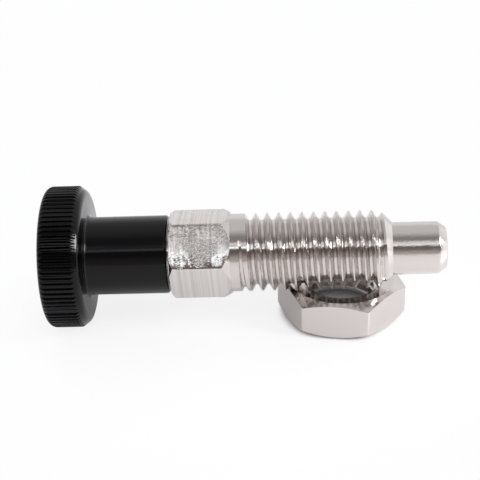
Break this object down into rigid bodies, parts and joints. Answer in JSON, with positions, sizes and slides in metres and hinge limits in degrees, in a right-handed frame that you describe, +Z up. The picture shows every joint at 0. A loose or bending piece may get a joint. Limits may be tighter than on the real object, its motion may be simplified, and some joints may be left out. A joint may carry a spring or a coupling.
{
  "type": "indexing plunger",
  "caption": "Spring-loaded indexing plunger: knurled pull knob, hexagon collar, threaded body, chamfered locating pin, and its lock nut lying loose beneath.",
  "frame": {"origin": "on the ground, in the middle of the footprint of the plunger and its nut", "axes": "+X from the knob towards the locating pin, +Y across the plunger, +Z up; the plunger's axis climbs 1.96 degrees from +X"},
  "size_m": [0.0608, 0.0228, 0.0217],
  "materials": {
    "body_steel": "turned and satin stainless steel",
    "pin_steel": "ground stainless steel",
    "spring_steel": "drawn spring wire",
    "black_plastic": "satin moulded thermoplastic",
    "brass": "turned brass",
    "nut_steel": "satin stainless steel"
  },
  "bodies": {
    "body": {"threaded_body": "body_steel", "lock_nut": "nut_steel"},
    "spring": {"return_spring": "spring_steel"},
    "puller": {"knob": "black_plastic", "knob_insert": "brass", "plunger_pin": "pin_steel"}
  },
  "joints": [
    {"name": "knob_turn", "type": "hinge", "parent": "body", "child": "spring", "pos_m": [-0.00204, -0.00056, 0.01166], "axis": [0.9995, 0, 0.0321], "continuous": true},
    {"name": "knob_pull", "type": "slide", "parent": "spring", "child": "puller", "axis": [-0.9995, 0, -0.0321], "range_m": [0, 0.0082], "stiffness_N_per_m": 1100, "springref_m": -0.0064, "deforming": ["return_spring"]}
  ]
}
